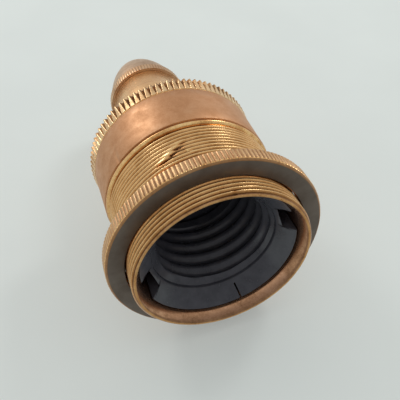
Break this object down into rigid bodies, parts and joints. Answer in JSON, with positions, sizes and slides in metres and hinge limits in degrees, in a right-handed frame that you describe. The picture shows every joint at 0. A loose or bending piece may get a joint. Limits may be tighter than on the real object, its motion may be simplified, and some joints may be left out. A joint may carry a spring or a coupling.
{
  "type": "cord grip lamp holder",
  "caption": "Brass screw lamp holder with a knurled shade ring, plain cap, tall neck and domed cord grip nut.",
  "frame": {"origin": "centre of the mouth rim, at the bottom of the holder as it stands on its mouth", "axes": "+Z along the holder's axis towards the cord grip; -Y towards the pictured side; +X to the right of it"},
  "size_m": [0.0476, 0.0476, 0.0798],
  "materials": {
    "aged_brass": "aged satin",
    "dark_brass": "tarnished satin",
    "bright_brass": "plain",
    "black_moulding": "gloss",
    "fibre": "matt",
    "grip_moulding": "matt",
    "steel": "plain"
  },
  "bodies": {
    "holder": {"threaded_skirt": "aged_brass", "thread_liner": "black_moulding", "terminal_base": "black_moulding", "base_fixing_screws": "steel", "live_terminal": "bright_brass", "neutral_terminal": "bright_brass", "plunger_spring": "steel"},
    "shade_ring": {"shade_ring": "dark_brass"},
    "cap": {"cap_shell": "aged_brass", "cap_lining": "fibre", "earth_terminal": "bright_brass", "cord_grip_sleeve": "aged_brass", "sleeve_locknut": "bright_brass"},
    "grip_nut": {"cord_grip_nut": "aged_brass"},
    "jaw_left": {"grip_jaw_left": "grip_moulding"},
    "jaw_right": {"grip_jaw_right": "grip_moulding"},
    "plunger": {"centre_plunger": "bright_brass"},
    "contact": {"shell_contact": "bright_brass"},
    "live_screw": {"live_terminal_screw": "steel"},
    "neutral_screw": {"neutral_terminal_screw": "steel"},
    "earth_screw": {"earth_terminal_screw": "steel"}
  },
  "joints": [
    {"name": "shade_ring_travel", "type": "slide", "parent": "holder", "child": "shade_ring", "axis": [0, 0, 1], "range_m": [-0.0043, 0.0132]},
    {"name": "cap_unscrew", "type": "slide", "parent": "holder", "child": "cap", "axis": [0, 0, 1], "range_m": [0, 0.005]},
    {"name": "nut_unscrew", "type": "slide", "parent": "cap", "child": "grip_nut", "axis": [0, 0, 1], "range_m": [0, 0.005]},
    {"name": "jaw_left_open", "type": "slide", "parent": "cap", "child": "jaw_left", "axis": [-1, 0, 0], "range_m": [0, 0.001]},
    {"name": "jaw_right_open", "type": "slide", "parent": "cap", "child": "jaw_right", "axis": [1, 0, 0], "range_m": [0, 0.001]},
    {"name": "plunger_press", "type": "slide", "parent": "holder", "child": "plunger", "axis": [0, 0, 1], "range_m": [0, 0.0018], "stiffness_N_per_m": 1200, "springref_m": -0.001, "deforming": ["plunger_spring"]},
    {"name": "contact_flex", "type": "hinge", "parent": "holder", "child": "contact", "pos_m": [0, -0.0139, 0.0317], "axis": [-1, 0, 0], "range_deg": [0, 2.8], "stiffness_Nm_per_rad": 1, "springref_deg": -1.15},
    {"name": "live_screw_travel", "type": "slide", "parent": "holder", "child": "live_screw", "axis": [1, 0, 0], "range_m": [0, 0.002]},
    {"name": "neutral_screw_travel", "type": "slide", "parent": "holder", "child": "neutral_screw", "axis": [0, -1, 0], "range_m": [0, 0.002]},
    {"name": "earth_screw_travel", "type": "slide", "parent": "cap", "child": "earth_screw", "axis": [0, 0, -1], "range_m": [0, 0.0015]}
  ],
  "couplings": [
    {"joint": "jaw_left_open", "follows": "nut_unscrew", "ratio": 0.2},
    {"joint": "jaw_right_open", "follows": "nut_unscrew", "ratio": 0.2}
  ]
}
